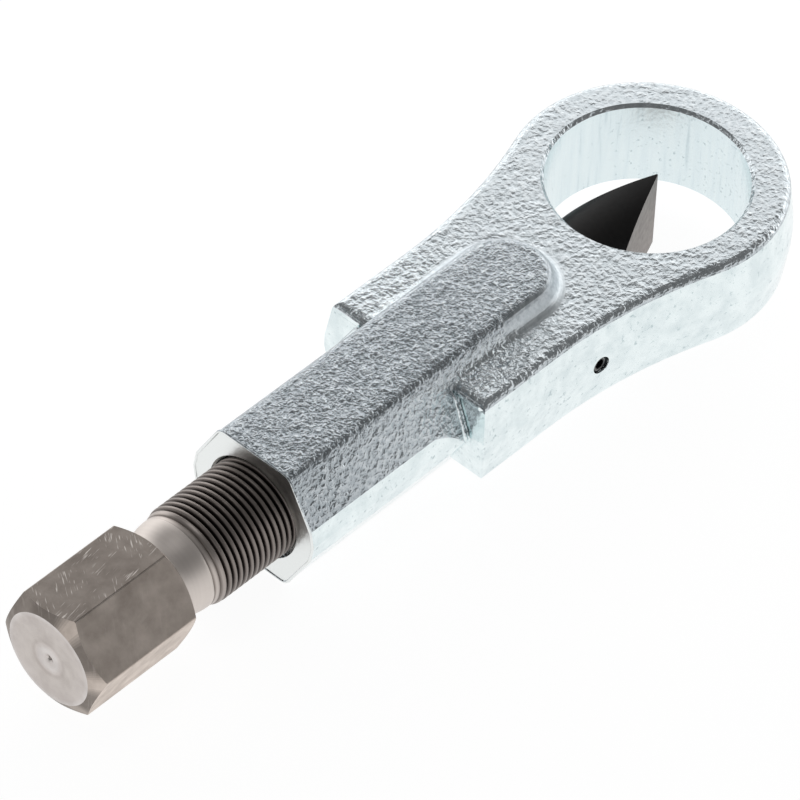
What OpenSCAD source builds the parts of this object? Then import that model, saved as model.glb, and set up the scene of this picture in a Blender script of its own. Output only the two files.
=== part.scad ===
// Nut splitter: forged ring frame, screw spindle, thrust ball, chisel and guide screw.
// Millimetres. The origin is the centre of the ring's bore at mid thickness.
// +X is the way the chisel advances, +Z runs along the ring's bore, and the spindle lies at -X.

/* [Ring and plate] */
// Diameter of the ring's bore, which goes over the nut
bore_d = 42; // [38:0.5:46]
// Outside diameter of the ring at the forging's parting line
ring_d = 60; // [57:0.5:66]
// Thickness of the ring and the two wings
plate_t = 21.5; // [20:0.5:24]
// Width across both wings at the parting line
wing_w = 43; // [41:0.5:46]
// Distance from the ring's centre to the wings' end faces
wing_end = 71.4; // [66:0.2:76]
// Radius of the hollow curve from each wing to the ring
flare_r = 123; // [100:1:150]
// Draft angle of the forged sides
draft = 7; // [4:0.5:9]
// Height of the upright strip left where the forging's flash was trimmed off
flash_land = 3; // [1:0.5:5]
// Rounding along the plate's edges
edge_r = 2.1; // [1:0.1:3]
// Chamfer at both mouths of the ring's bore
bore_chamfer = 0.7; // [0.3:0.1:1.2]

/* [Spine] */
// Distance from the ring's centre to the frame's spindle end
body_end = 114; // [106:0.5:120]
// Height of the spine over both flats
spine_h = 30; // [29:0.5:34]
// Width of the top and bottom flats
flat_w = 18.4; // [16:0.2:20]
// Width across the lower edges of the sloped facets
side_w = 30.5; // [29:0.5:34]
// Height of the strip between the upper and lower facets
side_h = 8; // [5:0.5:10]
// How far the parting ridge stands out of each side strip
ridge = 0.7; // [0.2:0.1:1.2]
// Rounding between a flat and its facets
spine_edge_r = 2.4; // [1:0.2:4]
// Distance from the ring's centre to the rounded end of the flats
spine_nose = 34; // [31:0.5:38]
// Hollow fillet where the spine meets the plate
fillet_r = 2.5; // [1:0.25:3]
// Chamfer at the mouth of the spindle's hole
mouth_chamfer = 0.7; // [0.3:0.1:1.2]

/* [Spindle] */
// Outside diameter of the spindle's thread
thread_d = 21.85; // [19:0.05:23]
// Pitch of the spindle's thread
thread_pitch = 1.5; // [1:0.25:2.5]
// Length of thread outside the frame with the chisel where the photograph shows it
thread_out = 17.7; // [15:0.1:22]
// Length of the neck between thread and hexagon
neck_len = 10.4; // [8:0.2:14]
// Diameter of the neck at the hexagon
neck_d = 18.8; // [16:0.2:19]
// Hexagon across its flats
hex_af = 24; // [22:0.5:27]
// Length of the hexagon
hex_len = 27.7; // [24:0.1:34]
// Diameter of the hexagon's end face inside the corner chamfer
hex_face_d = 21; // [19:0.1:23]
// Diameter of the hexagon's back face at the neck
hex_back_d = 22.4; // [21:0.1:23]
// Angle of the hexagon's corner chamfers
hex_chamfer = 32; // [15:1:40]
// Turn of the hexagon about the spindle's axis
hex_turn = 22; // [0:1:59]
// Diameter of the centre drilling in the hexagon's end
centre_d = 2.6; // [1.5:0.1:4]

/* [Chisel] */
// Diameter of the chisel bar
chisel_d = 19; // [16:0.1:20]
// Distance of the cutting edge past the ring's centre
tip_x = 3; // [0:0.1:8]
// Length of the chisel
chisel_len = 63; // [60:0.5:70]
// Half the angle between the wedge's two faces
wedge_half = 23; // [18:0.5:30]
// Width of the flat ground on the cutting edge
tip_flat = 0.3; // [0.1:0.1:0.8]
// How far the chisel can go forward from here
travel_out = 15; // [5:0.5:15]
// How far the chisel can go back from here
travel_back = 24; // [10:0.5:24]
// Distance from the ring's centre to the step between guide hole and spindle hole
step_x = 48; // [46:0.5:48]

/* [Thrust ball] */
// Diameter of the ball between the spindle's nose and the chisel
ball_d = 10; // [7:0.5:12]
// Space between the nose and the chisel, bridged by the ball
ball_gap_len = 5; // [4:0.25:6]

/* [Guide screw] */
// Outside diameter of the guide screw
screw_d = 4; // [3.5:0.1:5]
// Diameter of its dog point, which runs in the chisel's slot
dog_d = 2.5; // [2:0.1:3]
// Distance of the screw from the ring's centre
screw_x = 37.7; // [36:0.1:39]
// How far the screw's outer end lies below the side of the frame
screw_recess = 0.5; // [0.3:0.1:1.5]
// Hexagon socket of the screw across its flats
socket_af = 2; // [1.5:0.1:2.5]
// Depth of the hexagon socket
socket_depth = 2; // [1.5:0.1:3]
// Depth of the slot in the chisel
slot_depth = 2.2; // [1.6:0.1:2.6]

/* [Clearances] */
// Radial gap between the thread and its hole
thread_gap = 0.05; // [0.02:0.01:0.1]
// Radial gap between the chisel and its guide hole
guide_gap = 0.05; // [0.02:0.01:0.1]
// Radial gap between the ball and its two cups
cup_gap = 0.05; // [0.02:0.01:0.1]
// Gap between the screw and its hole
screw_gap = 0.02; // [0.01:0.01:0.05]
// Gap between the dog point and the slot all round
slot_gap = 0.15; // [0.1:0.05:0.3]

/* [Hidden] */
$fn = 96;
// How far a cutter or a trimmed block runs past the solid it meets
past = plate_t / 4;
half_t = plate_t / 2;
half_h = spine_h / 2;
ring_r = ring_d / 2;
wing_r = wing_w / 2;
bore_r = bore_d / 2;
thread_r = thread_d / 2;
chisel_r = chisel_d / 2;
ball_r = ball_d / 2;
hole_r = thread_r + thread_gap;
guide_r = chisel_r + guide_gap;

// Inward setting of the drafted, rounded plate edge: the rounding's centre, then its points as [inset, height]
edge_c = (edge_r + (half_t - edge_r - flash_land / 2) * sin(draft)) / cos(draft);
edge_steps = 6;
edge_up = [for (i = [0 : edge_steps])
    let (a = 180 - draft - (90 - draft) * i / edge_steps)
    [edge_c + edge_r * cos(a), half_t - edge_r + edge_r * sin(a)]];
edge_down = [for (i = [edge_steps : -1 : 0]) [edge_up[i][0], -edge_up[i][1]]];
edge = concat(edge_down, [[0, -flash_land / 2], [0, flash_land / 2]], edge_up);

// Centre of the hollow flare curve, tangent to the wing's side and to the ring, and the ring's tangent point
flare_y = wing_r + flare_r;
flare_x = -sqrt(pow(flare_r + ring_r, 2) - pow(flare_y, 2));
tangent = [flare_x, flare_y] * ring_r / (flare_r + ring_r);

// Spine section: flat's edge, facet's lower edge, ridge, and the rounding of the flat's edge
flat_r = flat_w / 2;
side_r = side_w / 2;
side_z = side_h / 2;
ridge_r = side_r + ridge;
facet_run = side_r - flat_r;
facet_drop = half_h - side_z;
facet_a = atan2(facet_run, facet_drop);
round_t = spine_edge_r * tan((90 - facet_a) / 2);
round_steps = 4;
round_up = [for (i = [0 : round_steps])
    let (a = 90 - (90 - facet_a) * i / round_steps)
    [flat_r - round_t + spine_edge_r * cos(a), half_h - spine_edge_r + spine_edge_r * sin(a)]];
spine_up = concat(round_up, [[side_r, side_z], [ridge_r, 0]]);
spine_down = [for (i = [len(spine_up) - 2 : -1 : 0]) [spine_up[i][0], -spine_up[i][1]]];
spine_right = concat(spine_up, spine_down);
spine_left = [for (i = [len(spine_right) - 1 : -1 : 0]) [-spine_right[i][0], spine_right[i][1]]];
nose_x = spine_nose + flat_r;

// Fillet between facet and plate as [half width, height], closed below the plate's top
fillet_y = flat_r + (fillet_r - (half_t + fillet_r - half_h) * sin(facet_a)) / cos(facet_a);
fillet_steps = 5;
fillet_arc = [for (i = [0 : fillet_steps])
    let (a = 180 + facet_a + (90 - facet_a) * i / fillet_steps)
    [fillet_y + fillet_r * cos(a), half_t + fillet_r + fillet_r * sin(a)]];
fillet_in = flat_r - fillet_r / 2;
fillet = concat(fillet_arc,
    [[fillet_y, half_t - fillet_r], [fillet_in, half_t - fillet_r], [fillet_in, fillet_arc[0][1]]]);

// Places along the axis
hex_back = -body_end - thread_out - neck_len;
hex_front = hex_back - hex_len;
thread_start = -body_end - thread_out;
chisel_back = tip_x - chisel_len;
ball_x = chisel_back - ball_gap_len / 2;
spindle_nose = chisel_back - ball_gap_len;
hex_r = hex_af / 2 / cos(30);
hex_over = 1.05 * hex_r;
hex_face_drop = (hex_over - hex_face_d / 2) * tan(hex_chamfer);
hex_back_drop = (hex_over - hex_back_d / 2) * tan(hex_chamfer);
nose_bevel = 0.11 * thread_r;

// The thread that shows at any place of the chisel, as V grooves [x, radius] at the thread's pitch and depth
groove_depth = 0.613 * thread_pitch;
groove_count = floor((thread_out + travel_back) / thread_pitch);
grooves = [for (i = [0 : groove_count - 1], p = [[1 / 8, 0], [1 / 2, groove_depth], [7 / 8, 0]])
    [thread_start + (i + p[0]) * thread_pitch, thread_r - p[1]]];
neck_rise = thread_r - neck_d / 2;

// The side of the frame at the guide screw, on the parting line
screw_side = flare_y - sqrt(pow(flare_r, 2) - pow(screw_x + flare_x, 2));
screw_out = screw_side - screw_recess;
screw_r = screw_d / 2;
dog_r = dog_d / 2;
slot_floor = chisel_r - slot_depth;
dog_end = slot_floor + slot_depth / 5;
dog_start = guide_r + dog_r * 0.75;
point_bevel = dog_d / 10;
screw_bevel = screw_d / 10;
slot_back = -screw_x - travel_out;

// A solid of revolution about +X from points [x, radius]
module turned(points) {
    rotate([0, 90, 0]) rotate_extrude() polygon([for (p = points) [p[1], p[0]]]);
}

// The drafted, rounded plate: ring, wings and the flared web between them
module ring_disc() {
    rotate_extrude() polygon(concat([[0, -half_t]], [for (p = edge) [ring_r - p[0], p[1]]], [[0, half_t]]));
}

module wing_bar() {
    intersection() {
        translate([-wing_end - past, 0, 0]) rotate([90, 0, 90])
            linear_extrude(wing_end + past - bore_r / 2)
                polygon(concat([for (p = edge) [wing_r - p[0], p[1]]],
                    [for (i = [len(edge) - 1 : -1 : 0]) [-wing_r + edge[i][0], edge[i][1]]]));
        translate([0, wing_r + past, 0]) rotate([90, 0, 0])
            linear_extrude(wing_w + 2 * past)
                polygon(concat([for (p = edge) [-wing_end + p[0], p[1]]], [[0, half_t], [0, -half_t]]));
    }
}

module web() {
    difference() {
        translate([0, 0, -half_t]) linear_extrude(plate_t)
            polygon([[flare_x, -wing_r], [tangent[0], -tangent[1]], [0, 0], tangent, [flare_x, wing_r]]);
        for (s = [-1, 1])
            translate([flare_x, s * flare_y, 0]) rotate_extrude()
                polygon(concat([[0, -half_t - past], [flare_r + edge_c, -half_t - past]],
                    [for (p = edge) [flare_r + p[0], p[1]]],
                    [[flare_r + edge_c, half_t + past], [0, half_t + past]]));
    }
}

// The spine: a bar of ten-sided section with a turned end, filleted to both faces of the plate
module spine() {
    translate([-body_end, 0, 0]) rotate([90, 0, 90])
        linear_extrude(body_end - nose_x) polygon(concat(spine_right, spine_left));
    translate([-nose_x, 0, 0]) rotate_extrude()
        polygon(concat([[0, half_h]], spine_right, [[0, -half_h]]));
    for (m = [0, 1]) mirror([0, 0, m]) {
        for (k = [0, 1]) mirror([0, k, 0])
            translate([-wing_end + edge_c, 0, 0]) rotate([90, 0, 90])
                linear_extrude(wing_end - edge_c - nose_x) polygon(fillet);
        translate([-nose_x, 0, 0]) rotate_extrude() polygon(fillet);
    }
}

module body() {
    color([0.83, 0.86, 0.88]) difference() {
        union() {
            ring_disc();
            wing_bar();
            web();
            spine();
        }
        // the ring's bore with its two chamfers
        rotate_extrude() polygon([[0, -half_t - past], [bore_r + bore_chamfer + past, -half_t - past],
            [bore_r, -half_t + bore_chamfer], [bore_r, half_t - bore_chamfer],
            [bore_r + bore_chamfer + past, half_t + past], [0, half_t + past]]);
        // spindle hole with its mouth chamfer, then the chisel's guide hole
        turned([[-body_end - past, 0], [-body_end - past, hole_r + mouth_chamfer + past],
            [-body_end + mouth_chamfer, hole_r], [-step_x, hole_r], [-step_x, guide_r],
            [-bore_r / 2, guide_r], [-bore_r / 2, 0]]);
        // hole for the guide screw, from the side into the guide hole
        translate([-screw_x, 0, 0]) rotate([90, 0, 0])
            cylinder(r = screw_r + screw_gap, h = wing_r + 2 * past);
    }
}

module spindle() {
    color([0.47, 0.43, 0.40]) {
        difference() {
            union() {
                intersection() {
                    translate([hex_front, 0, 0]) rotate([hex_turn, 0, 0]) rotate([0, 90, 0])
                        cylinder(r = hex_r, h = hex_len, $fn = 6);
                    turned([[hex_front, 0], [hex_front, hex_face_d / 2], [hex_front + hex_face_drop, hex_over],
                        [hex_back - hex_back_drop, hex_over], [hex_back, hex_back_d / 2], [hex_back, 0]]);
                }
                // waisted neck, ringed thread and bevelled nose
                turned(concat([[hex_back - neck_len / 8, 0], [hex_back - neck_len / 8, neck_d / 2]],
                    [for (p = [[0.15, 0], [0.35, 0.30], [0.55, 0.48], [0.80, 0.55], [1, 1]])
                        [hex_back + p[0] * neck_len, neck_d / 2 + p[1] * neck_rise]],
                    grooves, [[spindle_nose - nose_bevel, thread_r],
                    [spindle_nose, thread_r - nose_bevel], [spindle_nose, 0]]));
            }
            // centre drilling in the hexagon's end
            turned([[hex_front - centre_d * 0.866, 0], [hex_front - centre_d * 0.866, centre_d],
                [hex_front + centre_d * 0.866, 0]]);
            // cup for the ball
            translate([ball_x, 0, 0]) sphere(r = ball_r + cup_gap);
        }
    }
}

module thrust_ball() {
    color([0.75, 0.76, 0.78]) translate([ball_x, 0, 0]) sphere(r = ball_r);
}

module chisel() {
    over = 1.1 * chisel_r;
    wedge_len = (over - tip_flat / 2) / tan(wedge_half);
    color([0.10, 0.10, 0.10]) difference() {
        intersection() {
            translate([chisel_back, 0, 0]) rotate([0, 90, 0]) cylinder(r = chisel_r, h = chisel_len);
            translate([0, 0, -over]) linear_extrude(2 * over)
                polygon([[chisel_back - over, -over], [tip_x - wedge_len, -over], [tip_x, -tip_flat / 2],
                    [tip_x, tip_flat / 2], [tip_x - wedge_len, over], [chisel_back - over, over]]);
        }
        // cup for the ball
        translate([ball_x, 0, 0]) sphere(r = ball_r + cup_gap);
        // slot for the guide screw, closed at the back and running out through the wedge's face
        translate([slot_back, -over, -dog_r - slot_gap])
            cube([tip_x - slot_back, over - slot_floor, dog_d + 2 * slot_gap]);
        translate([slot_back, -slot_floor, 0]) rotate([90, 0, 0])
            cylinder(r = dog_r + slot_gap, h = over - slot_floor);
    }
}

module guide_screw() {
    color([0.08, 0.08, 0.08]) translate([-screw_x, 0, 0]) rotate([90, 0, 0]) difference() {
        rotate_extrude() polygon([[0, dog_end], [dog_r - point_bevel, dog_end], [dog_r, dog_end + point_bevel],
            [dog_r, dog_start], [screw_r - screw_bevel, dog_start], [screw_r, dog_start + screw_bevel],
            [screw_r, screw_out - screw_bevel], [screw_r - screw_bevel, screw_out], [0, screw_out]]);
        translate([0, 0, screw_out - socket_depth])
            cylinder(r = socket_af / 2 / cos(30), h = 2 * socket_depth, $fn = 6);
    }
}

body();
spindle();
thrust_ball();
chisel();
guide_screw();
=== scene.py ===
"""Looks of a screw-driven nut splitter: zinc plated forging, machined spindle, black chisel and screw."""

import math

import bpy
import numpy as np
from mathutils import Matrix


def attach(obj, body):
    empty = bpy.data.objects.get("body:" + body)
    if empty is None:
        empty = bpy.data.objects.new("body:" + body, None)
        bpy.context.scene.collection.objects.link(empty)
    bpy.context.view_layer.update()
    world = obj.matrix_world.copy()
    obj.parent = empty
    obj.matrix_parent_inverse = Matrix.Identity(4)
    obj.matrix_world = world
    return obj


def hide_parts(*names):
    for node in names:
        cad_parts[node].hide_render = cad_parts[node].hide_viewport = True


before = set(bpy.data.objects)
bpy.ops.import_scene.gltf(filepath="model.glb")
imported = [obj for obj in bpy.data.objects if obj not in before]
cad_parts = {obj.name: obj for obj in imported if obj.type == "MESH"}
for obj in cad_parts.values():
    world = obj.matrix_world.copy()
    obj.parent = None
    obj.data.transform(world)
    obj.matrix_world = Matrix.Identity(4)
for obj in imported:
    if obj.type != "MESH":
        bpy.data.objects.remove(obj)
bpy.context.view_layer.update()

MM = 0.001

# Sizes of the spindle in millimetres and radians, the same as in the part's source
HEX_FRONT = -169.8
HEX_BACK = -142.1
HEX_FLATS = 24.0
HEX_FACE_R = 10.5
HEX_BACK_R = 11.2
HEX_CHAMFER = math.radians(32)
HEX_SIDE = math.radians(60)
HEX_FIRST_CORNER = math.radians(52)
CENTRE_R = 1.3
NECK_R = 9.4
THREAD_START = -131.7
THREAD_R = 10.925
THREAD_PITCH = 1.5
THREAD_DEPTH = 0.92
SPINDLE_NOSE = -65.0
NOSE_BEVEL = 1.2
BALL_X = -62.5
CUP_R = 5.05

# Finer forms of the spindle in millimetres: drilling and groove as radius and depth, then neck and thread.
# The waist and the cone are shares of the neck's length and rise, root and flank shares of half a pitch
CENTRE_DRILLING = ((0.02, 1.6), (0.36, 1.45), (0.45, 0.62), (0.52, 0.50), (CENTRE_R - 0.1, 0.04),
                   (CENTRE_R + 0.3, 0.0))
FACE_GROOVE = ((3.0, 0.0), (3.3, 0.05), (3.9, 0.05), (4.2, 0.0))
CORNER_FLAT = math.radians(0.8)
NECK_FILLET = 0.8
WAIST_FROM = 0.10
WAIST_LONG = 0.55
WAIST_RISE = 0.52
CONE_FROM = 0.72
ROOT_FLAT = 0.08
FLANK_LONG = 0.62
FLANK_POWER = 1.6
NECK_STEP = 0.4
ROWS_A_PITCH = 14
THREAD_SEEN_TO = -86.0
RUN_OUT = 3.4
RUN_OUT_DEPTH = 0.22

# Painted light and shade on the hexagon: how bright its flats and corners are, from the first corner on, and
# its chamfers between corners. A chamfer brightens over a share of the way from a flat's middle to a corner
FLAT_PAINTED_LIGHT = np.array([0.78, 1.10, 1.58, 1.0, 0.9, 0.85])
CORNER_PAINTED_LIGHT = np.array([0.66, 1.60, 1.35, 1.0, 0.9, 0.8])
CHAMFER_PAINTED_SHADE = 0.60
CUT_FROM = 0.15
CUT_LONG = 0.5

# The spindle's finishes in the order of its material slots
DRAWN, TURNED, THREADED, FACED = range(4)

# Sizes of the forging in millimetres and radians, the same as in the part's source
SPINE_HALF = 15.0
FLAT_HALF = 9.2
SIDE_HALF = 15.25
SIDE_Z = 4.0
RIDGE_HALF = 15.95
SPINE_ROUND = 2.4
BODY_END = -114.0
WING_END = -71.4
FLASH_HALF = 1.5
DRAFT = math.radians(7)
SCREW_X = -37.7
UNDERSIDE_Z = -15.0

# The forging's shoulder flares in millimetres, sunk a little into strip and facet so that no gap shows
FLARE_FROM = -80.0
FLARE_TO = -71.2
FLARE_HALF_Z = 7.0
FLARE_OUT = 2.2
FLARE_POWER = 1.6
FLARE_ROOT = 12.5
STRIP_SUNK = 0.04
FACET_SUNK = 0.015

# The forging's trimmed lips in millimetres. A side lip has its way behind the wing's end, its way out from
# the spine, its radius, and its height as a multiple of that
BEAD_SIDES = 12
END_LIP_R = 0.32
END_LIP_SUNK = 0.10
SIDE_LIPS = ((0.80, 0.02, 0.38, 2.8), (-0.02, 0.60, 0.28, 1.0))
SIDE_LIP_TOP = 9.9
SIDE_LIP_LONG = 10.1
UPPER_LIP_Z = 9.4
UPPER_LIP_LONG = 7.6
UPPER_LIP_R = 0.36
UPPER_LIP_TALL = 2.4
UPPER_LIP_SUNK = 0.08


def linear(code):
    """Linear RGBA of an sRGB hex colour."""
    parts = [int(code[i:i + 2], 16) / 255 for i in (1, 3, 5)]
    return tuple(c / 12.92 if c <= 0.04045 else ((c + 0.055) / 1.055) ** 2.4 for c in parts) + (1.0,)


def node(tree, kind, settings=None, **links):
    """Adds a node. Settings are its properties, and stops its ramp's places and colours.

    Links are input names, or i and a number. Each has a value, a socket, or a node, whose first live output
    counts.
    """
    made = tree.nodes.new(kind)
    for name, value in (settings or {}).items():
        if name != "stops":
            setattr(made, name, value)
            continue
        elements = made.color_ramp.elements
        while len(elements) < len(value):
            elements.new(0.5)
        for element, (place, colour) in zip(elements, value):
            element.position = place
            element.color = linear(colour) if isinstance(colour, str) else (colour, colour, colour, 1.0)
    for name, value in links.items():
        numbered = name[0] == "i" and name[1:].isdigit()
        socket = made.inputs[int(name[1:]) if numbered else name.replace("_", " ")]
        if isinstance(value, bpy.types.Node):
            value = next(output for output in value.outputs if output.enabled)
        if isinstance(value, bpy.types.NodeSocket):
            tree.links.new(value, socket)
        else:
            socket.default_value = value
    return made


def new_material(name):
    """An empty node material and its tree."""
    made = bpy.data.materials.new(name)
    made.use_nodes = True
    made.node_tree.nodes.clear()
    return made, made.node_tree


def skin(rings, closed=False):
    """Points and faces between neighbouring rings, closed by a face over each end or from last to first."""
    rows, around = rings.shape[:2]
    i = np.arange(rows if closed else rows - 1)[:, None]
    j = np.arange(around)[None, :]
    after, beside = (i + 1) % rows, (j + 1) % around
    corners = (i * around + j, i * around + beside, after * around + beside, after * around + j)
    faces = np.stack(np.broadcast_arrays(*corners), axis=-1).reshape(-1, 4).tolist()
    if not closed:
        faces += [list(range(around))[::-1], list(range((rows - 1) * around, rows * around))]
    return rings.reshape(-1, 3), faces


def put_in_scene(name, points, faces):
    """A smooth-shaded mesh object at the origin from points in millimetres."""
    mesh = bpy.data.meshes.new(name)
    mesh.from_pydata((points * MM).tolist(), [], faces)
    mesh.polygons.foreach_set("use_smooth", np.ones(len(mesh.polygons), dtype=bool))
    made = bpy.data.objects.new(name, mesh)
    bpy.context.scene.collection.objects.link(made)
    return made


# Camera: fitted to the photograph by the ring's bore, the hexagon and the thread
def photo_camera(azimuth, elevation, roll, distance, target, lens):
    """A camera that looks at target from azimuth and elevation, turned about its own axis by roll."""
    a, e, r = (math.radians(v) for v in (azimuth, elevation, roll))
    back = np.array([math.sin(a) * math.cos(e), -math.cos(a) * math.cos(e), math.sin(e)])
    level = np.array([math.cos(a), math.sin(a), 0.0])
    upright = np.cross(back, level)
    right = level * math.cos(r) + upright * math.sin(r)
    up = -level * math.sin(r) + upright * math.cos(r)
    place = np.array(target) + back * distance
    data = bpy.data.cameras.new("photo_camera")
    data.sensor_width = 36.0
    data.lens = lens
    data.clip_start = 0.05
    camera = bpy.data.objects.new("photo_camera", data)
    columns = np.eye(4)
    columns[:3, 0], columns[:3, 1], columns[:3, 2], columns[:3, 3] = right, up, back, place
    camera.matrix_world = Matrix(columns.tolist())
    bpy.context.scene.collection.objects.link(camera)
    bpy.context.scene.camera = camera


photo_camera(azimuth=-48.663, elevation=46.002, roll=2.611, distance=1.3764, target=(-0.07286, -0.00046, 0.0),
             lens=314.68)


# Spindle: rows of rings round the X axis, from the hexagon's end to the nose
def spindle_angles():
    """Angles round X from +Y towards +Z, 2.5 degrees apart, and closer at a hexagon corner's narrow flat."""
    between = np.radians(np.arange(3.0, 58.0, 2.5))
    sector = np.concatenate(([0.0, CORNER_FLAT], between, [HEX_SIDE - CORNER_FLAT]))
    turns = np.arange(6)[:, None] * HEX_SIDE
    return (turns + sector[None, :]).ravel() + HEX_FIRST_CORNER, len(sector)


def hexagon_radius(angle):
    """Half the width over flats divided by the cosine from the flat's middle, cut short at the corners."""
    from_middle = np.mod(angle - HEX_FIRST_CORNER, HEX_SIDE) - HEX_SIDE / 2
    blunt = HEX_FLATS / 2 / math.cos(HEX_SIDE / 2 - CORNER_FLAT)
    return np.minimum(HEX_FLATS / 2 / np.cos(from_middle), blunt)


def neck_radius(x):
    """Radius of the waisted neck and the cone into the thread: two smooth steps, 3s^2 - 2s^3 of a share s."""
    share = (x - HEX_BACK) / (THREAD_START - HEX_BACK)
    waist = np.clip((share - WAIST_FROM) / WAIST_LONG, 0.0, 1.0)
    cone = np.clip((share - CONE_FROM) / (1 - CONE_FROM), 0.0, 1.0)
    rise = WAIST_RISE * waist ** 2 * (3 - 2 * waist) + (1 - WAIST_RISE) * cone ** 2 * (3 - 2 * cone)
    return NECK_R + (THREAD_R - NECK_R) * rise


def thread_radius(x, angle):
    """Radius on a helix of round crests, and how near it is to a crest.

    A triangle wave of x over the pitch less the turn is cut flat at root and crest, and the depth times a
    power of what it lacks of 1 is taken off.
    """
    wave = np.abs(2 * np.mod(x / THREAD_PITCH - angle / (2 * math.pi), 1.0) - 1)
    flank = np.clip((wave - ROOT_FLAT) / FLANK_LONG, 0.0, 1.0)
    return THREAD_R - THREAD_DEPTH * (1 - flank) ** FLANK_POWER, flank


def spindle_rows():
    """Rows of x and radius along the spindle, how near each point is to a crest, and the sharp rows."""
    angle, per_sector = spindle_angles()
    one = np.ones_like(angle)
    hexagon = hexagon_radius(angle)
    face_drop = (hexagon - HEX_FACE_R) * math.tan(HEX_CHAMFER)
    back_drop = (hexagon - HEX_BACK_R) * math.tan(HEX_CHAMFER)
    rows, crest, sharp = [], [], []

    def add(x, r, worn=0.0, crease=False):
        if crease:
            sharp.append(len(rows))
        rows.append(np.stack([x * one, r * one]))
        crest.append(worn * one)

    for r, depth in CENTRE_DRILLING + FACE_GROOVE + ((6.0, 0.0), (8.5, 0.0)):
        add(HEX_FRONT + depth, r)
    add(HEX_FRONT, HEX_FACE_R - 0.15)
    add(HEX_FRONT + 0.04, HEX_FACE_R, crease=True)
    add(HEX_FRONT + 0.5 * face_drop, 0.5 * (HEX_FACE_R + hexagon))
    add(HEX_FRONT + face_drop, hexagon, crease=True)
    flat_long = HEX_BACK - HEX_FRONT - face_drop - back_drop
    for share in (0.1, 0.3, 0.5, 0.7, 0.9):
        add(HEX_FRONT + face_drop + share * flat_long, hexagon)
    add(HEX_BACK - back_drop, hexagon, crease=True)
    add(HEX_BACK - 0.5 * back_drop, 0.5 * (HEX_BACK_R + hexagon))
    add(HEX_BACK, HEX_BACK_R, crease=True)
    add(HEX_BACK, NECK_R + 0.9)
    for turn in np.radians(np.arange(0, 91, 22.5)):
        add(HEX_BACK + NECK_FILLET * (1 - math.cos(turn)), NECK_R + NECK_FILLET * (1 - math.sin(turn)))
    for x in np.arange(HEX_BACK + 1.2, THREAD_START - RUN_OUT, NECK_STEP):
        add(x, neck_radius(x))
    for x in np.arange(THREAD_START - RUN_OUT, THREAD_SEEN_TO, THREAD_PITCH / ROWS_A_PITCH):
        cut, flank = thread_radius(x, angle)
        blank = neck_radius(np.minimum(x, THREAD_START))
        run_out = RUN_OUT_DEPTH * np.clip((x - THREAD_START) / RUN_OUT + 1, 0.0, 1.0) * (1 - flank)
        add(x, np.minimum(cut, blank - run_out), flank)
    for x in np.linspace(THREAD_SEEN_TO, SPINDLE_NOSE - NOSE_BEVEL, 8):
        add(x, THREAD_R)
    add(SPINDLE_NOSE, THREAD_R - NOSE_BEVEL, crease=True)
    cup_edge = math.sqrt(CUP_R ** 2 - (SPINDLE_NOSE - BALL_X) ** 2)
    add(SPINDLE_NOSE, cup_edge, crease=True)
    for turn in np.linspace(math.asin(cup_edge / CUP_R), 0.01, 10)[1:]:
        add(BALL_X - CUP_R * math.cos(turn), CUP_R * math.sin(turn))
    return angle, per_sector, np.array(rows), np.array(crest), sharp


def build_spindle():
    """Turns the rows into one closed mesh, marks its creases and gives each face its finish.

    The attribute crest is 1 on a thread crest. The other attribute holds painted light and shade on the
    hexagon's
    steel: each flat has its own brightness, and a chamfer goes from painted shade between corners to the
    nearest corner's painted light, where it is cut deepest.
    """
    angle, per_sector, rows, crest, sharp = spindle_rows()
    count, around = len(rows), len(angle)
    x, r = rows[:, 0], rows[:, 1]
    made = put_in_scene("spindle_turned", *skin(np.stack([x, r * np.cos(angle), r * np.sin(angle)], axis=2)))
    mesh = made.data
    mesh.attributes.new("crest", "FLOAT", "POINT").data.foreach_set("value", crest.ravel())

    ends = np.empty(len(mesh.edges) * 2, dtype=np.int64)
    mesh.edges.foreach_get("vertices", ends)
    row, column = ends.reshape(-1, 2) // around, ends.reshape(-1, 2) % around
    face_edge, front_edge, back_edge, back_rim = sharp[:4]
    turned = (row[:, 0] == row[:, 1]) & np.isin(row[:, 0], sharp)
    in_hexagon = (row.min(axis=1) >= face_edge) & (row.max(axis=1) <= back_rim)
    corner = np.isin(column[:, 0] % per_sector, [1, per_sector - 1]) & (column[:, 0] == column[:, 1])
    creases = mesh.attributes.new("sharp_edge", "BOOLEAN", "EDGE")
    creases.data.foreach_set("value", turned | (corner & in_hexagon))

    face_row = np.repeat(np.arange(count - 1), around)
    middle = x.mean(axis=1)[face_row]
    zones = [face_row < face_edge, middle < HEX_BACK - 0.01, middle < THREAD_START - RUN_OUT]
    finish = np.select(zones, [FACED, DRAWN, TURNED], THREADED)
    mesh.polygons.foreach_set("material_index", np.concatenate([finish, [FACED, THREADED]]).astype(np.int32))
    reach = np.tile(hexagon_radius(angle), count - 1)
    near_corner = (reach - HEX_FLATS / 2) / (HEX_FLATS / math.sqrt(3) - HEX_FLATS / 2)
    on_flat = (face_row >= front_edge) & (face_row < back_edge)
    flat_painted_light = np.tile(FLAT_PAINTED_LIGHT[np.arange(around) // per_sector], count - 1)
    corner_painted_light = np.tile(CORNER_PAINTED_LIGHT[(np.arange(around) + per_sector // 2) // per_sector % 6], count - 1)
    cut = np.clip((near_corner - CUT_FROM) / CUT_LONG, 0.0, 1.0)
    # painted light and shade: each flat has its own brightness, and each chamfer is painted dark between
    # corners and brightens towards its corner's painted highlight
    wear = np.where(on_flat, flat_painted_light, CHAMFER_PAINTED_SHADE + (corner_painted_light - CHAMFER_PAINTED_SHADE) * cut)
    mesh.attributes.new("wear", "FLOAT", "FACE").data.foreach_set("value", np.concatenate([wear, [1.0, 1.0]]))
    mesh.update()
    return made


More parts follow.
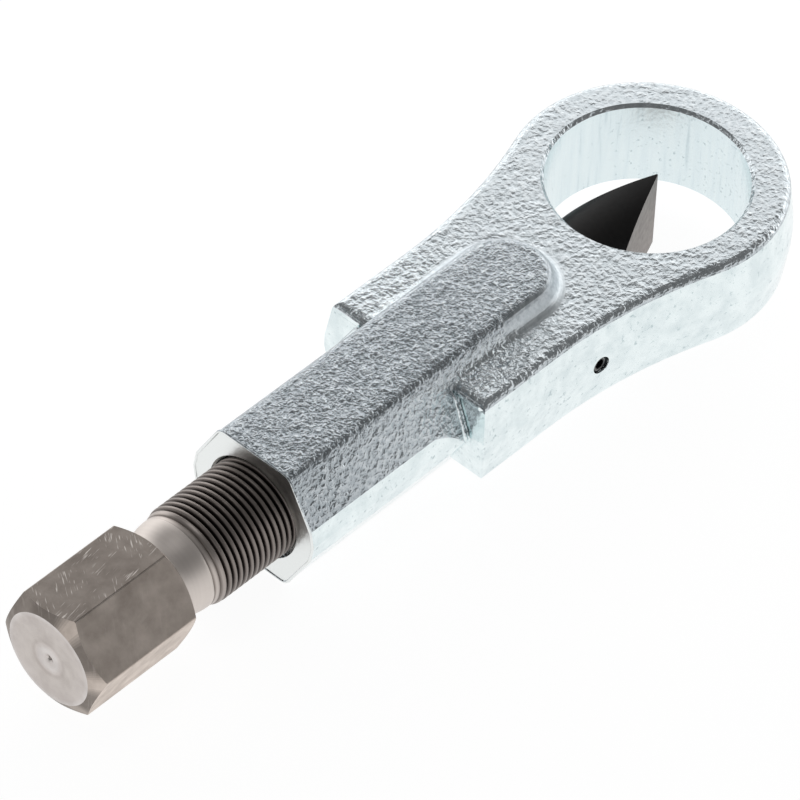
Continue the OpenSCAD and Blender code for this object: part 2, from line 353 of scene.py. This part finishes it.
# Forging: widened shoulders and trimmed edges
def facet_half(z):
    """Half the spine's width on its facets at height z: straight from the flat's edge to the strip's."""
    return FLAT_HALF + (SPINE_HALF - np.abs(z)) * (SIDE_HALF - FLAT_HALF) / (SPINE_HALF - SIDE_Z)


def strip_half(z):
    """Half the spine's width on its side strips at height z: straight from the strip's edge to the ridge."""
    return SIDE_HALF + (RIDGE_HALF - SIDE_HALF) * (1 - np.minimum(np.abs(z) / SIDE_Z, 1.0))


def shoulder_flare(side):
    """Where the spine meets a wing's end its side strip swings outwards, and the facet runs on down to it.

    At each x and z the half width is the lesser of the facet's and of the strip's plus a swing, which is half
    a power and half a circle's arc of the share of the flare's length. An inner plane closes it inside the
    forging.
    """
    share = np.linspace(0.0, 1.0, 26)
    x = FLARE_FROM + share * (FLARE_TO - FLARE_FROM)
    z = np.linspace(FLARE_HALF_Z, -FLARE_HALF_Z, 57) * -side
    swing = FLARE_OUT / 2 * (share ** FLARE_POWER + 1 - np.sqrt(1 - share ** 2)) - STRIP_SUNK
    outer = np.minimum(facet_half(z)[None, :] - FACET_SUNK, strip_half(z)[None, :] + swing[:, None])
    half = np.concatenate([outer, np.full((len(x), 2), FLARE_ROOT)], axis=1)
    height = np.concatenate([z, [z[-1], z[0]]])
    rings = np.stack(np.broadcast_arrays(x[:, None], half * side, height[None, :]), axis=2)
    return skin(rings)


def tube(path, radius, closed=False, tall=1.0):
    """A bead along a path: at each point an ellipse square to the path.

    Its half width, towards X, is that point's radius, and its half height is tall times the radius.
    """
    if closed:
        way = np.roll(path, -1, axis=0) - np.roll(path, 1, axis=0)
    else:
        way = np.gradient(path, axis=0)
    way = way / np.linalg.norm(way, axis=1, keepdims=True)
    first = np.cross(way, [1.0, 0.0, 0.0])
    first = first / np.linalg.norm(first, axis=1, keepdims=True)
    second = np.cross(way, first)
    turn = np.linspace(0, 2 * math.pi, BEAD_SIDES, endpoint=False)[None, :, None]
    out = tall * np.cos(turn) * first[:, None, :] + np.sin(turn) * second[:, None, :]
    return skin(path[:, None, :] + radius[:, None, None] * out, closed)


def end_outline():
    """The spine's outline: the flat, an arc, the facet, the strip and the ridge, mirrored all round."""
    slope = math.atan2(SIDE_HALF - FLAT_HALF, SPINE_HALF - SIDE_Z)
    reach = SPINE_ROUND * math.tan((math.pi / 2 - slope) / 2)
    turn = np.linspace(math.pi / 2, slope, 9)
    arc_half = FLAT_HALF - reach + SPINE_ROUND * np.cos(turn)
    arc = np.stack([arc_half, SPINE_HALF - SPINE_ROUND * (1 - np.sin(turn))])
    quarter = np.concatenate([arc, [[SIDE_HALF, RIDGE_HALF], [SIDE_Z, 0.0]]], axis=1)
    below = (quarter * [[1], [-1]])[:, -2::-1]
    right = np.concatenate([quarter, below], axis=1)
    return np.concatenate([right, -right], axis=1).T


def trimmed_edges():
    """Thin raised lips left by trimming: round the spine's end, and on each wing's end.

    On a wing's end a pair runs down beside the spine, and one lip runs along the upper edge to the corner.
    They follow the end face's draft, and their radius thins out at both ends as a sine does.
    """
    outline = end_outline() * (1 - END_LIP_SUNK / SIDE_HALF)
    path = np.column_stack([np.full(len(outline), BODY_END + END_LIP_SUNK), outline])
    beads = [tube(path, np.full(len(path), END_LIP_R), closed=True)]
    share = np.linspace(0.0, 1.0, 24)
    thick = np.clip(3.0 * np.sin(math.pi * share), 0.1, 1.0)
    z = SIDE_LIP_TOP - SIDE_LIP_LONG * share
    x = WING_END + np.maximum(z - FLASH_HALF, 0.0) * math.tan(DRAFT)
    upper_x = WING_END + (UPPER_LIP_Z - FLASH_HALF) * math.tan(DRAFT) + UPPER_LIP_SUNK
    upper_half = facet_half(UPPER_LIP_Z) + share * UPPER_LIP_LONG
    level = np.ones_like(share)
    for side in (-1, 1):
        for back, out, radius, tall in SIDE_LIPS:
            beside = np.column_stack([x - back, side * (facet_half(z) + out), z])
            beads.append(tube(beside, radius * thick, tall=tall))
        upper = np.column_stack([upper_x * level, side * upper_half, UPPER_LIP_Z * level])
        beads.append(tube(upper, UPPER_LIP_R * thick, tall=UPPER_LIP_TALL))
    return beads


def joined(pieces):
    """Several meshes' points and faces as one."""
    points, faces, start = [], [], 0
    for some_points, some_faces in pieces:
        points.append(some_points)
        faces += [[corner + start for corner in face] for face in some_faces]
        start += len(some_points)
    return np.concatenate(points), faces


# Materials
def zinc_forging():
    """Drop-forged steel, bright zinc plated.

    The dies leave scale on the faces, which looks grainy and crinkled: deepest on the spine's top, less on
    wings, facets and ring, and least on roundings. The trimmed sides and the bore are smooth and show the
    white room.
    """
    made, tree = new_material("zinc_plated_forging")
    place = node(tree, "ShaderNodeTexCoord")
    where = place.outputs["Object"]
    facing = node(tree, "ShaderNodeSeparateXYZ", Vector=place.outputs["Normal"])
    spot = node(tree, "ShaderNodeSeparateXYZ", Vector=where)
    along = spot.outputs["X"]
    smooth = {"interpolation_type": "SMOOTHSTEP"}
    upright = node(tree, "ShaderNodeMath", {"operation": "ABSOLUTE"}, i0=facing.outputs["Z"])
    height = node(tree, "ShaderNodeMath", {"operation": "ABSOLUTE"}, i0=spot.outputs["Z"])
    top = node(tree, "ShaderNodeMapRange", smooth, Value=facing.outputs["Z"], From_Min=0.22, From_Max=0.42)
    underside = node(tree, "ShaderNodeMapRange", smooth, Value=facing.outputs["Z"],
                     From_Min=-0.70, From_Max=-0.90)
    forged = node(tree, "ShaderNodeMath", {"operation": "MAXIMUM"}, i0=top, i1=underside)
    flat = node(tree, "ShaderNodeMapRange", smooth, Value=upright, From_Min=0.82, From_Max=0.99)
    # the spine's upper facets lean so that 0.48 of their normal points up
    lean = node(tree, "ShaderNodeMath", {"operation": "SUBTRACT"}, i0=facing.outputs["Z"], i1=0.48)
    off_lean = node(tree, "ShaderNodeMath", {"operation": "ABSOLUTE"}, i0=lean)
    facet = node(tree, "ShaderNodeMapRange", smooth, Value=off_lean, From_Min=0.10, From_Max=0.03)
    spine = node(tree, "ShaderNodeMapRange", smooth, Value=height, From_Min=11 * MM, From_Max=14.6 * MM)
    wing = node(tree, "ShaderNodeMapRange", smooth, Value=along, From_Min=-15 * MM, From_Max=-55 * MM,
                To_Min=0.42, To_Max=0.58)
    back_half = node(tree, "ShaderNodeMapRange", smooth, Value=along, From_Min=-60 * MM, From_Max=-112 * MM)

    # scale in grains 1 mm across, 0.92 mm on the spine, on waves of 3.5 mm with creases 2 mm apart, deeper in
    # patches of 9 mm
    coarse = node(tree, "ShaderNodeTexNoise", Vector=where, Scale=1 / (1.0 * MM), Detail=2.0, Roughness=0.42,
                  Distortion=0.35)
    fine = node(tree, "ShaderNodeTexNoise", Vector=where, Scale=1 / (0.92 * MM), Detail=2.0, Roughness=0.45,
                Distortion=0.7)
    grains = node(tree, "ShaderNodeMix", {"data_type": "FLOAT"}, i0=spine, i2=coarse, i3=fine)
    waves = node(tree, "ShaderNodeTexNoise", Vector=where, Scale=1 / (3.5 * MM), Detail=3.0, Roughness=0.55)
    creases = node(tree, "ShaderNodeTexNoise", {"noise_type": "RIDGED_MULTIFRACTAL"}, Vector=where,
                   Scale=1 / (2.0 * MM), Detail=2.0, Roughness=0.5)
    scale = node(tree, "ShaderNodeMath", {"operation": "MULTIPLY_ADD"}, i0=creases, i1=0.40, i2=grains)
    patches = node(tree, "ShaderNodeTexNoise", Vector=where, Scale=1 / (9.0 * MM), Detail=2.0)
    patchy = node(tree, "ShaderNodeMapRange", Value=patches, From_Min=0.3, From_Max=0.7,
                  To_Min=0.75, To_Max=1.4)
    wavy = node(tree, "ShaderNodeMath", {"operation": "MULTIPLY_ADD"}, i0=waves, i1=1.1, i2=scale)
    # the spine's top is a little crowned: it drops by the square of the way past 4.5 mm from its middle
    off_middle = node(tree, "ShaderNodeMath", {"operation": "ABSOLUTE"}, i0=spot.outputs["Y"])
    past = node(tree, "ShaderNodeMapRange", {"clamp": True}, Value=off_middle,
                From_Min=4.5 * MM, From_Max=9.5 * MM)
    drop = node(tree, "ShaderNodeMath", {"operation": "POWER"}, i0=past, i1=2.0)
    crown = node(tree, "ShaderNodeMath", {"operation": "MULTIPLY"}, i0=drop, i1=spine)
    relief = node(tree, "ShaderNodeMath", {"operation": "MULTIPLY_ADD"}, i0=crown, i1=-0.45, i2=wavy)
    on_spine = node(tree, "ShaderNodeMapRange", Value=back_half, To_Min=0.46, To_Max=0.92)
    on_top = node(tree, "ShaderNodeMapRange", Value=spine, To_Min=wing.outputs[0], To_Max=on_spine.outputs[0])
    top_depth = node(tree, "ShaderNodeMath", {"operation": "MULTIPLY"}, i0=flat, i1=on_top)
    on_facet = node(tree, "ShaderNodeMapRange", Value=back_half, To_Min=0.20, To_Max=0.60)
    facet_depth = node(tree, "ShaderNodeMath", {"operation": "MULTIPLY"}, i0=facet, i1=on_facet)
    deepest = node(tree, "ShaderNodeMath", {"operation": "MAXIMUM"}, i0=top_depth, i1=facet_depth)
    # the spine's nose was wiped smooth by the die
    above = node(tree, "ShaderNodeMapRange", smooth, Value=height, From_Min=10.7 * MM, From_Max=10.85 * MM)
    below = node(tree, "ShaderNodeMapRange", smooth, Value=height, From_Min=14.95 * MM, From_Max=14.4 * MM)
    fore = node(tree, "ShaderNodeMapRange", smooth, Value=along, From_Min=-58 * MM, From_Max=-44 * MM)
    wall = node(tree, "ShaderNodeMath", {"operation": "MULTIPLY"}, i0=above, i1=below)
    nose = node(tree, "ShaderNodeMath", {"operation": "MULTIPLY"}, i0=wall, i1=fore)
    least = node(tree, "ShaderNodeMapRange", Value=forged, To_Min=0.05, To_Max=0.36)
    even = node(tree, "ShaderNodeMath", {"operation": "MAXIMUM"}, i0=deepest, i1=least)
    scaly = node(tree, "ShaderNodeMath", {"operation": "MULTIPLY"}, i0=even, i1=patchy)
    depth = node(tree, "ShaderNodeMapRange", Value=nose, To_Min=scaly.outputs[0], To_Max=0.03)
    bump = node(tree, "ShaderNodeBump", Strength=depth, Distance=1.0 * MM, Height=relief)

    # painted shade: the spine's top and its upper facets get a darker copy of the forging's tone, most
    # towards the spine's back and less near its nose, so that they look darker than ring and wings
    bright = node(tree, "ShaderNodeValToRGB",
                  {"stops": [(0.30, "#c4ccd0"), (0.50, "#d2d9dd"), (0.72, "#dde3e6")]}, Fac=grains)
    painted_shade_tone = node(tree, "ShaderNodeValToRGB",
                 {"stops": [(0.30, "#969ea3"), (0.50, "#adb4b9"), (0.72, "#c3c9cd")]}, Fac=grains)
    facet_share = node(tree, "ShaderNodeMapRange", Value=back_half, To_Min=0.32, To_Max=0.90)
    on_facets = node(tree, "ShaderNodeMath", {"operation": "MULTIPLY"}, i0=facet, i1=facet_share)
    fore_share = node(tree, "ShaderNodeMapRange", Value=fore, To_Min=1.0, To_Max=0.82)
    spine_share = node(tree, "ShaderNodeMath", {"operation": "MULTIPLY"}, i0=spine, i1=fore_share)
    painted_shade_share = node(tree, "ShaderNodeMath", {"operation": "MAXIMUM"}, i0=spine_share, i1=on_facets)
    scale_tone_with_painted_shade = node(tree, "ShaderNodeMix", {"data_type": "RGBA"}, i0=painted_shade_share, i6=bright, i7=painted_shade_tone)

    # the bore is a shade bluer, with faint darker upright streaks, and specks of about 1 mm lie on the smooth
    # sides, most of them round the ring's end
    flat_spot = node(tree, "ShaderNodeVectorMath", {"operation": "MULTIPLY"}, i0=where, i1=(1.0, 1.0, 0.0))
    from_bore = node(tree, "ShaderNodeVectorMath", {"operation": "LENGTH"}, i0=flat_spot)
    bore = node(tree, "ShaderNodeMapRange", smooth, Value=from_bore, From_Min=23.5 * MM, From_Max=22.5 * MM)
    long_streaks = node(tree, "ShaderNodeMapping", {"vector_type": "TEXTURE"}, Vector=where,
                      Scale=(1.4 * MM, 1.4 * MM, 16 * MM))
    marks = node(tree, "ShaderNodeTexNoise", Vector=long_streaks, Scale=1.0, Detail=3.0)
    bore_tone = node(tree, "ShaderNodeValToRGB",
                     {"stops": [(0.40, "#e8f3f5"), (0.62, "#e3eff2"), (0.76, "#d2e0e4")]}, Fac=marks)
    side_tone = node(tree, "ShaderNodeValToRGB", {"stops": [(0.30, "#dbe6e8"), (0.62, "#ecf5f6")]}, Fac=waves)
    smooth_tone = node(tree, "ShaderNodeMix", {"data_type": "RGBA"}, i0=bore, i6=side_tone, i7=bore_tone)
    specks = node(tree, "ShaderNodeTexNoise", Vector=where, Scale=1 / (1.1 * MM), Detail=3.0, Roughness=0.6)
    ring_end = node(tree, "ShaderNodeMapRange", smooth, Value=along, From_Min=4 * MM, From_Max=22 * MM)
    off_bore = node(tree, "ShaderNodeMath", {"operation": "SUBTRACT"}, i0=ring_end, i1=bore)
    more = node(tree, "ShaderNodeMath", {"operation": "MULTIPLY_ADD"}, i0=off_bore, i1=0.05, i2=specks)
    speck_tone = node(tree, "ShaderNodeValToRGB",
                      {"stops": [(0.60, "#ffffff"), (0.74, "#ced6d8")]}, Fac=more)
    specked = node(tree, "ShaderNodeMix", {"data_type": "RGBA", "blend_type": "MULTIPLY"}, i0=1.0,
                   i6=smooth_tone, i7=speck_tone)
    # the sawn end is a plainer white, and it, the bore and the nose are more satin than the trimmed sides
    sawn = node(tree, "ShaderNodeMapRange", Value=along, From_Min=-113.5 * MM, From_Max=-113.9 * MM)
    cut = node(tree, "ShaderNodeMix", {"data_type": "RGBA"}, i0=sawn, i6=specked, i7=linear("#ecefee"))
    tone = node(tree, "ShaderNodeMix", {"data_type": "RGBA"}, i0=forged, i6=cut, i7=scale_tone_with_painted_shade)
    side_gloss = node(tree, "ShaderNodeMapRange", Value=bore, To_Min=0.14, To_Max=0.27)
    cut_gloss = node(tree, "ShaderNodeMapRange", Value=sawn, To_Min=side_gloss.outputs[0], To_Max=0.29)
    top_gloss = node(tree, "ShaderNodeMapRange", Value=nose, To_Min=0.25, To_Max=0.36)
    gloss = node(tree, "ShaderNodeMapRange", Value=forged, To_Min=cut_gloss.outputs[0],
                 To_Max=top_gloss.outputs[0])
    shader = node(tree, "ShaderNodeBsdfPrincipled", Base_Color=tone, Metallic=1.0, Roughness=gloss,
                  Normal=bump)
    node(tree, "ShaderNodeOutputMaterial", Surface=shader)
    return made


def hexagon_steel():
    """Drawn steel bar, unplated: brown-grey, dull, scratched by wrenches, with painted light and shade that
    differ flat by flat and painted highlights at its cut corners.
    """
    made, tree = new_material("drawn_steel_bar")
    place = node(tree, "ShaderNodeTexCoord")
    where = place.outputs["Object"]
    # painted light and shade, read from the spindle's face attribute, scales the bar's tone face by face
    wear = node(tree, "ShaderNodeAttribute", {"attribute_name": "wear"}).outputs["Fac"]
    blotch = node(tree, "ShaderNodeTexNoise", Vector=where, Scale=1 / (5.0 * MM), Detail=6.0, Roughness=0.6)
    drawn = node(tree, "ShaderNodeValToRGB", {"stops": [(0.3, "#9d938b"), (0.7, "#bdb3ab")]}, Fac=blotch)
    tone = node(tree, "ShaderNodeMix", {"data_type": "RGBA", "blend_type": "MULTIPLY"}, i0=1.0, i6=drawn,
                i7=wear)
    # strokes 0.3 mm wide and about 4 mm long where a wrench has slipped, in two directions, each in its own
    # patches and most on the upper flat
    facing = node(tree, "ShaderNodeSeparateXYZ", Vector=place.outputs["Normal"]).outputs["Z"]
    top_flat = node(tree, "ShaderNodeMapRange", Value=facing, From_Min=0.90, From_Max=0.97, To_Min=0.12)
    patches = node(tree, "ShaderNodeTexNoise", Vector=where, Scale=1 / (6.0 * MM), Detail=1.0)
    for turn, outside, inside in ((-35, 0.52, 0.58), (-80, 0.44, 0.37)):
        strokes = node(tree, "ShaderNodeMapping", {"vector_type": "TEXTURE"}, Vector=where,
                       Rotation=(0.0, 0.0, math.radians(turn)), Scale=(0.30 * MM, 4.0 * MM, 4.0 * MM))
        lines = node(tree, "ShaderNodeTexNoise", Vector=strokes, Scale=1.0, Detail=1.0, Distortion=0.3)
        line = node(tree, "ShaderNodeMapRange", Value=lines, From_Min=0.61, From_Max=0.69)
        patch = node(tree, "ShaderNodeMapRange", Value=patches, From_Min=outside, From_Max=inside)
        there = node(tree, "ShaderNodeMath", {"operation": "MULTIPLY"}, i0=patch, i1=top_flat)
        scratch = node(tree, "ShaderNodeMath", {"operation": "MULTIPLY"}, i0=line, i1=there)
        tone = node(tree, "ShaderNodeMix", {"data_type": "RGBA"}, i0=scratch, i6=tone.outputs["Result"],
                    i7=linear("#ded7d1"))
    grain = node(tree, "ShaderNodeTexNoise", Vector=where, Scale=1 / (0.6 * MM), Detail=3.0)
    bump = node(tree, "ShaderNodeBump", Strength=0.12, Distance=0.1 * MM, Height=grain)
    shader = node(tree, "ShaderNodeBsdfPrincipled", Base_Color=tone, Metallic=1.0, Roughness=0.55,
                  Normal=bump)
    node(tree, "ShaderNodeOutputMaterial", Surface=shader)
    return made


def faced_steel():
    """The hexagon's end, faced on a lathe: pale and satin, with rings 0.45 mm wide, drawn coarse to show."""
    made, tree = new_material("faced_steel_end")
    where = node(tree, "ShaderNodeTexCoord").outputs["Object"]
    across = node(tree, "ShaderNodeVectorMath", {"operation": "MULTIPLY"}, i0=where, i1=(0.0, 1.0, 1.0))
    radius = node(tree, "ShaderNodeVectorMath", {"operation": "LENGTH"}, i0=across)
    feed = node(tree, "ShaderNodeMath", {"operation": "MULTIPLY"}, i0=radius, i1=1 / (0.45 * MM))
    rings = node(tree, "ShaderNodeTexNoise", {"noise_dimensions": "1D"}, W=feed, Detail=2.0)
    blotch = node(tree, "ShaderNodeTexNoise", Vector=where, Scale=1 / (3.0 * MM), Detail=4.0)
    both = node(tree, "ShaderNodeMath", {"operation": "MULTIPLY_ADD"}, i0=rings, i1=0.6, i2=blotch)
    satin = node(tree, "ShaderNodeValToRGB", {"stops": [(0.6, "#cbc5c2"), (0.95, "#dbd6d3")]}, Fac=both)
    # a pale ring was faced last, round the centre
    share = node(tree, "ShaderNodeMath", {"operation": "MULTIPLY"}, i0=radius, i1=1 / (HEX_FACE_R * MM))
    ring_tone = node(tree, "ShaderNodeValToRGB", {"stops": [
        (0.0, "#f6f4f2"), (0.22, "#ffffff"), (0.32, "#f4f1ef"), (0.38, "#e2dedb"), (0.46, "#ebe8e5"),
        (0.90, "#efecea"), (1.0, "#ffffff")]}, Fac=share)
    tone = node(tree, "ShaderNodeMix", {"data_type": "RGBA", "blend_type": "MULTIPLY"}, i0=1.0, i6=satin,
                i7=ring_tone)
    shader = node(tree, "ShaderNodeBsdfPrincipled", Base_Color=tone, Metallic=1.0, Roughness=0.4)
    node(tree, "ShaderNodeOutputMaterial", Surface=shader)
    return made


def turned_steel():
    """The turned neck: satin steel, lighter than the bar, with faint turning lines, drawn 0.8 mm to show."""
    made, tree = new_material("turned_steel")
    where = node(tree, "ShaderNodeTexCoord").outputs["Object"]
    bands = node(tree, "ShaderNodeMapping", {"vector_type": "TEXTURE"}, Vector=where,
                 Scale=(0.8 * MM, 40 * MM, 40 * MM))
    lines = node(tree, "ShaderNodeTexNoise", Vector=bands, Scale=1.0, Detail=1.0)
    tone = node(tree, "ShaderNodeValToRGB", {"stops": [(0.3, "#dad2cc"), (0.7, "#ded6d0")]}, Fac=lines)
    shader = node(tree, "ShaderNodeBsdfPrincipled", Base_Color=tone, Metallic=1.0, Roughness=0.5)
    node(tree, "ShaderNodeOutputMaterial", Surface=shader)
    return made


def oiled_thread():
    """Cut thread, dark with oil in its roots and rubbed brighter on its crests, cleaner where it runs out."""
    made, tree = new_material("oiled_cut_thread")
    worn = node(tree, "ShaderNodeAttribute", {"attribute_name": "crest"}).outputs["Fac"]
    where = node(tree, "ShaderNodeTexCoord").outputs["Object"]
    along = node(tree, "ShaderNodeSeparateXYZ", Vector=where).outputs["X"]
    clean = node(tree, "ShaderNodeMapRange", {"interpolation_type": "SMOOTHSTEP"}, Value=along,
                 From_Min=(THREAD_START + 0.8) * MM, From_Max=(THREAD_START - 3.2) * MM)
    oily = node(tree, "ShaderNodeValToRGB",
                {"stops": [(0.0, "#2c2928"), (0.6, "#625b58"), (1.0, "#8f8782")]}, Fac=worn)
    wiped = node(tree, "ShaderNodeValToRGB", {"stops": [(0.0, "#8a817b"), (1.0, "#c8bfb9")]}, Fac=worn)
    tone = node(tree, "ShaderNodeMix", {"data_type": "RGBA"}, i0=clean, i6=oily, i7=wiped)
    shader = node(tree, "ShaderNodeBsdfPrincipled", Base_Color=tone, Metallic=1.0, Roughness=0.4)
    node(tree, "ShaderNodeOutputMaterial", Surface=shader)
    return made


def black_chisel():
    """Hardened steel: dull black oxide on the bar, and two wedge faces ground back to grey."""
    made, tree = new_material("black_oxide_and_ground_steel")
    place = node(tree, "ShaderNodeTexCoord")
    facing = node(tree, "ShaderNodeSeparateXYZ", Vector=place.outputs["Normal"])
    ground = node(tree, "ShaderNodeMapRange", Value=facing.outputs["X"], From_Min=0.25, From_Max=0.35)
    grain = node(tree, "ShaderNodeTexNoise", Vector=place.outputs["Object"], Scale=1 / (1.2 * MM), Detail=5.0)
    dark = node(tree, "ShaderNodeValToRGB", {"stops": [(0.3, "#0b0a0a"), (0.7, "#151313")]}, Fac=grain)
    grey = node(tree, "ShaderNodeValToRGB", {"stops": [(0.3, "#8f8884"), (0.7, "#a8a19d")]}, Fac=grain)
    tone = node(tree, "ShaderNodeMix", {"data_type": "RGBA"}, i0=ground, i6=dark, i7=grey)
    gloss = node(tree, "ShaderNodeMapRange", Value=ground, To_Min=0.45, To_Max=0.5)
    shader = node(tree, "ShaderNodeBsdfPrincipled", Base_Color=tone, Metallic=ground, Roughness=gloss,
                  Specular_IOR_Level=0.15)
    node(tree, "ShaderNodeOutputMaterial", Surface=shader)
    return made


def black_screw():
    """Black oxide on a small set screw, with a thin painted highlight in a ring round its socket."""
    made, tree = new_material("black_oxide_screw")
    where = node(tree, "ShaderNodeTexCoord").outputs["Object"]
    grain = node(tree, "ShaderNodeTexNoise", Vector=where, Scale=1 / (0.5 * MM), Detail=3.0)
    black = node(tree, "ShaderNodeValToRGB", {"stops": [(0.3, "#0f0f10"), (0.7, "#1b1b1c")]}, Fac=grain)
    from_axis = node(tree, "ShaderNodeVectorMath", {"operation": "SUBTRACT"}, i0=where,
                     i1=(SCREW_X * MM, 0.0, 0.0))
    across = node(tree, "ShaderNodeVectorMath", {"operation": "MULTIPLY"}, i0=from_axis, i1=(1.0, 0.0, 1.0))
    radius = node(tree, "ShaderNodeVectorMath", {"operation": "LENGTH"}, i0=across)
    # painted highlight: a pale ring 1.42 mm from the screw's axis, full within 0.12 mm of it and gone past
    # 0.22 mm
    off_rim = node(tree, "ShaderNodeMath", {"operation": "SUBTRACT"}, i0=radius, i1=1.42 * MM)
    distance = node(tree, "ShaderNodeMath", {"operation": "ABSOLUTE"}, i0=off_rim)
    painted_rim_highlight = node(tree, "ShaderNodeMapRange", Value=distance, From_Min=0.22 * MM, From_Max=0.12 * MM)
    tone = node(tree, "ShaderNodeMix", {"data_type": "RGBA"}, i0=painted_rim_highlight, i6=black, i7=linear("#8d8d8c"))
    shader = node(tree, "ShaderNodeBsdfPrincipled", Base_Color=tone, Metallic=0.3, Roughness=0.4)
    node(tree, "ShaderNodeOutputMaterial", Surface=shader)
    return made


def ball_steel():
    """Polished hardened ball, hidden between nose and chisel."""
    made, tree = new_material("polished_ball_steel")
    where = node(tree, "ShaderNodeTexCoord").outputs["Object"]
    smear = node(tree, "ShaderNodeTexNoise", Vector=where, Scale=1 / (3.0 * MM), Detail=2.0)
    tone = node(tree, "ShaderNodeValToRGB", {"stops": [(0.3, "#b9bcc0"), (0.7, "#cfd2d5")]}, Fac=smear)
    shader = node(tree, "ShaderNodeBsdfPrincipled", Base_Color=tone, Metallic=1.0, Roughness=0.12)
    node(tree, "ShaderNodeOutputMaterial", Surface=shader)
    return made


def dress(name, material):
    """Puts one material in every slot of a CAD node."""
    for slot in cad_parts[name].material_slots:
        slot.material = material


spindle = build_spindle()
for finish in (hexagon_steel(), turned_steel(), oiled_thread(), faced_steel()):
    spindle.data.materials.append(finish)
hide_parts("spindle")
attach(spindle, "spindle")

forging = zinc_forging()
dress("body", forging)
flares = put_in_scene("shoulder_flares", *joined([shoulder_flare(-1), shoulder_flare(1)]))
lips = put_in_scene("trimmed_lips", *joined(trimmed_edges()))
for piece in (flares, lips):
    piece.data.materials.append(forging)
    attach(piece, "frame")
dress("chisel", black_chisel())
dress("guide_screw", black_screw())
dress("thrust_ball", ball_steel())


# Studio: a white floor, a room that is bright low down, a white board behind the ring and a soft lamp
def studio_floor():
    """A wide white floor, 0.2 mm under the forging, with a faint shadow, white to the camera and in metal."""
    half = 4.0
    floor_z = UNDERSIDE_Z * MM - 0.0002
    corners = [(-half, -half), (half, -half), (half, half), (-half, half)]
    mesh = bpy.data.meshes.new("floor")
    mesh.from_pydata([(x, y, floor_z) for x, y in corners], [], [(0, 1, 2, 3)])
    made = bpy.data.objects.new("floor", mesh)
    bpy.context.scene.collection.objects.link(made)
    material, tree = new_material("white_studio_paper")
    ray = node(tree, "ShaderNodeLightPath")
    clear = node(tree, "ShaderNodeMath", {"operation": "MAXIMUM"}, i0=ray.outputs["Is Glossy Ray"],
                 i1=ray.outputs["Is Transmission Ray"])
    seen = node(tree, "ShaderNodeMath", {"operation": "MAXIMUM"}, i0=ray.outputs["Is Camera Ray"], i1=clear)
    paper = node(tree, "ShaderNodeBsdfDiffuse", Color=linear("#f4f4f4"))
    lit = node(tree, "ShaderNodeBsdfDiffuse", Color=(0.16, 0.16, 0.16, 1.0))
    glow = node(tree, "ShaderNodeEmission", Color=(1.0, 1.0, 1.0, 1.0), Strength=0.935)
    white = node(tree, "ShaderNodeAddShader", i0=lit, i1=glow)
    mix = node(tree, "ShaderNodeMixShader", i0=seen, i1=paper, i2=white)
    node(tree, "ShaderNodeOutputMaterial", Surface=mix)
    mesh.materials.append(material)


def studio_room():
    """World light by height: bright low down, dark overhead, and darker behind the camera."""
    world = bpy.data.worlds.new("studio_room")
    bpy.context.scene.world = world
    world.use_nodes = True
    tree = world.node_tree
    tree.nodes.clear()
    way = node(tree, "ShaderNodeTexCoord").outputs["Generated"]
    height = node(tree, "ShaderNodeSeparateXYZ", Vector=way).outputs["Z"]
    level = node(tree, "ShaderNodeValToRGB",
                 {"stops": [(0.0, 0.95), (0.20, 0.85), (0.36, 0.17), (1.0, 0.17)]}, Fac=height)
    towards = node(tree, "ShaderNodeVectorMath", {"operation": "DOT_PRODUCT"}, i0=way, i1=(-0.68, -0.73, 0.0))
    behind = node(tree, "ShaderNodeMapRange", {"interpolation_type": "SMOOTHSTEP"}, Value=towards,
                  From_Min=0.75, From_Max=0.95, To_Min=1.0, To_Max=0.55)
    shade = node(tree, "ShaderNodeMix", {"data_type": "RGBA", "blend_type": "MULTIPLY"}, i0=1.0, i6=level,
                 i7=behind)
    room = node(tree, "ShaderNodeBackground", Color=shade, Strength=1.0)
    node(tree, "ShaderNodeOutputWorld", Surface=room)


def soft_lamp(name, place, aim, width, height, radiance):
    """A rectangular lamp at place that faces aim, its height upright, as bright all over as radiance says."""
    data = bpy.data.lights.new(name, "AREA")
    data.shape = "RECTANGLE"
    data.size = width
    data.size_y = height
    data.energy = radiance * math.pi * width * height
    made = bpy.data.objects.new(name, data)
    way = np.array(place) - np.array(aim)
    way = way / np.linalg.norm(way)
    side = np.cross([0.0, 0.0, 1.0], way)
    side = side / np.linalg.norm(side)
    columns = np.eye(4)
    columns[:3, 0], columns[:3, 1], columns[:3, 2], columns[:3, 3] = side, np.cross(way, side), way, place
    made.matrix_world = Matrix(columns.tolist())
    bpy.context.scene.collection.objects.link(made)


studio_floor()
studio_room()
# the board stands close behind the ring, so that the ring's top is brighter than the spine's
BOARD_AWAY = np.array([0.75, 0.66, 0.0]) * 0.165
BOARD_TOP = 0.255
board_middle = np.array([0.0, 0.0, BOARD_TOP / 2])
soft_lamp("white_board", place=BOARD_AWAY + board_middle, aim=board_middle, width=1.2, height=BOARD_TOP,
          radiance=0.95)
soft_lamp("overhead_softbox", place=(-0.2, 0.1, 1.2), aim=(-0.07, 0.0, 0.0), width=0.5, height=0.5,
          radiance=1.2)

bpy.context.scene.view_settings.view_transform = "Standard"
